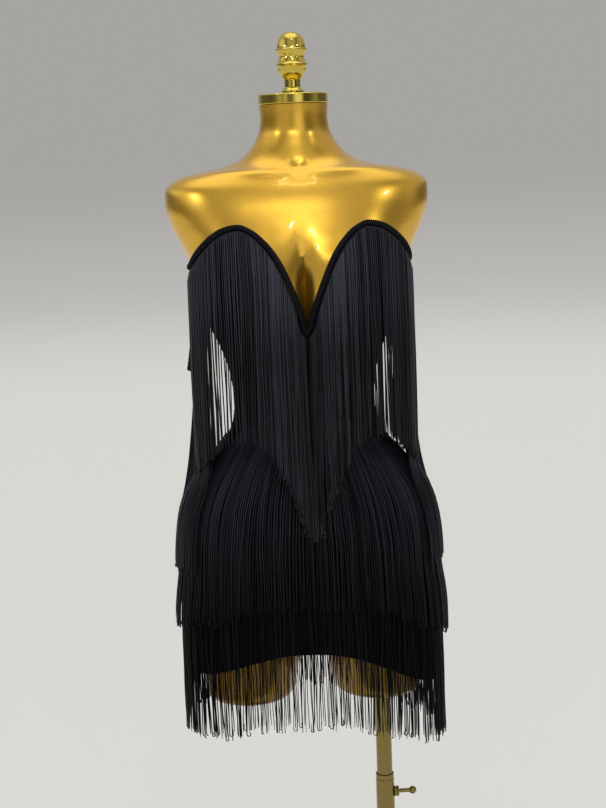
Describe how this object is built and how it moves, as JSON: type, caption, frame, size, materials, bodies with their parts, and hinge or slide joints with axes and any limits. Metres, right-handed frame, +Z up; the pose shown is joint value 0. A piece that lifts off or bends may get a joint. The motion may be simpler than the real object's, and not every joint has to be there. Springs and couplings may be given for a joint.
{
  "type": "fringed bandage dress on a stand dress form",
  "caption": "Strapless sweetheart mini dress with tiers of hanging fringe, worn by a limbless gold dress form on a height-adjustable pole stand.",
  "frame": {"origin": "centre of the base plate's underside", "axes": "+Z up, the front of the dress faces -Y, +X towards the wearer's left"},
  "size_m": [0.4, 0.4, 1.5411],
  "materials": {
    "form_gold": "metallic gold lacquer, satin gloss",
    "polished_gold": "polished",
    "pole_gold": "gold plated steel",
    "black_cloth": "ribbed stretch knit",
    "black_trim": "corded binding",
    "black_fringe": "twisted rayon chainette fringe"
  },
  "bodies": {
    "stand": {"base_plate": "pole_gold", "pole_tube": "pole_gold"},
    "clamp": {"clamp_screw": "pole_gold"},
    "rod": {"pole_rod": "pole_gold"},
    "form": {"form_torso": "form_gold", "neck_cap": "polished_gold", "neck_finial": "polished_gold", "bodice_front_left": "black_cloth", "bodice_front_right": "black_cloth", "bodice_back": "black_cloth", "skirt_front": "black_cloth", "skirt_back": "black_cloth", "neck_binding_front": "black_trim", "neck_binding_back": "black_trim", "side_wing_left": "black_cloth", "side_wing_right": "black_cloth", "fringe_neck_left": "black_fringe", "fringe_neck_right": "black_fringe", "fringe_side_left": "black_fringe", "fringe_side_right": "black_fringe", "fringe_hip_front": "black_fringe", "fringe_hip_back": "black_fringe", "fringe_hem_front": "black_fringe", "fringe_hem_back": "black_fringe"}
  },
  "joints": [
    {"name": "height_slide", "type": "slide", "parent": "stand", "child": "rod", "axis": [0, 0, 1], "range_m": [-0.1, 0.15]},
    {"name": "form_swivel", "type": "hinge", "parent": "rod", "child": "form", "pos_m": [0.1, 0.005, 0.7], "axis": [0, 0, 1], "continuous": true},
    {"name": "clamp_turn", "type": "hinge", "parent": "stand", "child": "clamp", "pos_m": [0.13, 0.005, 0.428], "axis": [1, 0, 0], "continuous": true}
  ]
}
